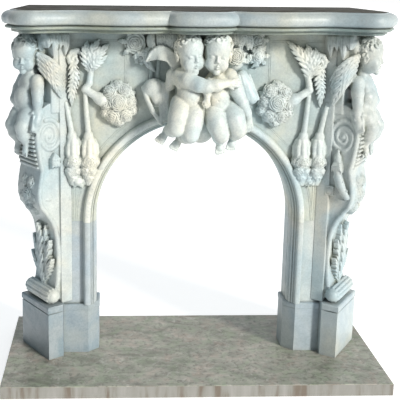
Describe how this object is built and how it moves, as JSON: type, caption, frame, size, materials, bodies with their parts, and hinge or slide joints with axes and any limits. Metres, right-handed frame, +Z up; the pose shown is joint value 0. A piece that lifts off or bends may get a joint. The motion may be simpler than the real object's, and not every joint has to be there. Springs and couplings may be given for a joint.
{
  "type": "fireplace mantel",
  "caption": "Carved marble fireplace mantel with a round-arched opening, canted scroll consoles with seated infants, a crowning pair of infants, a waved shelf and a hearth slab.",
  "frame": {"origin": "middle of the hearth slab's underside, on the floor", "axes": "+Z up; +X along the mantel to the viewer's right as they face it; -Y out of the opening toward the viewer, so +Y is toward the wall"},
  "size_m": [1.36, 0.58, 1.31],
  "materials": {
    "marble": "honed white marble with faint grey clouds",
    "carved_marble": "carved white marble, softly honed, dirt in the hollows",
    "hearth_stone": "polished mottled beige and grey travertine"
  },
  "bodies": {
    "root": {"hearth_slab": "hearth_stone", "mantel_shelf": "marble", "arch_front": "carved_marble", "keystone_putti": "carved_marble", "jamb_left": "marble", "jamb_right": "marble", "jamb_plinth_left": "marble", "jamb_plinth_right": "marble", "console_plinth_left": "marble", "console_plinth_right": "marble", "console_left": "carved_marble", "console_right": "carved_marble", "side_return_left": "marble", "side_return_right": "marble"}
  },
  "joints": []
}
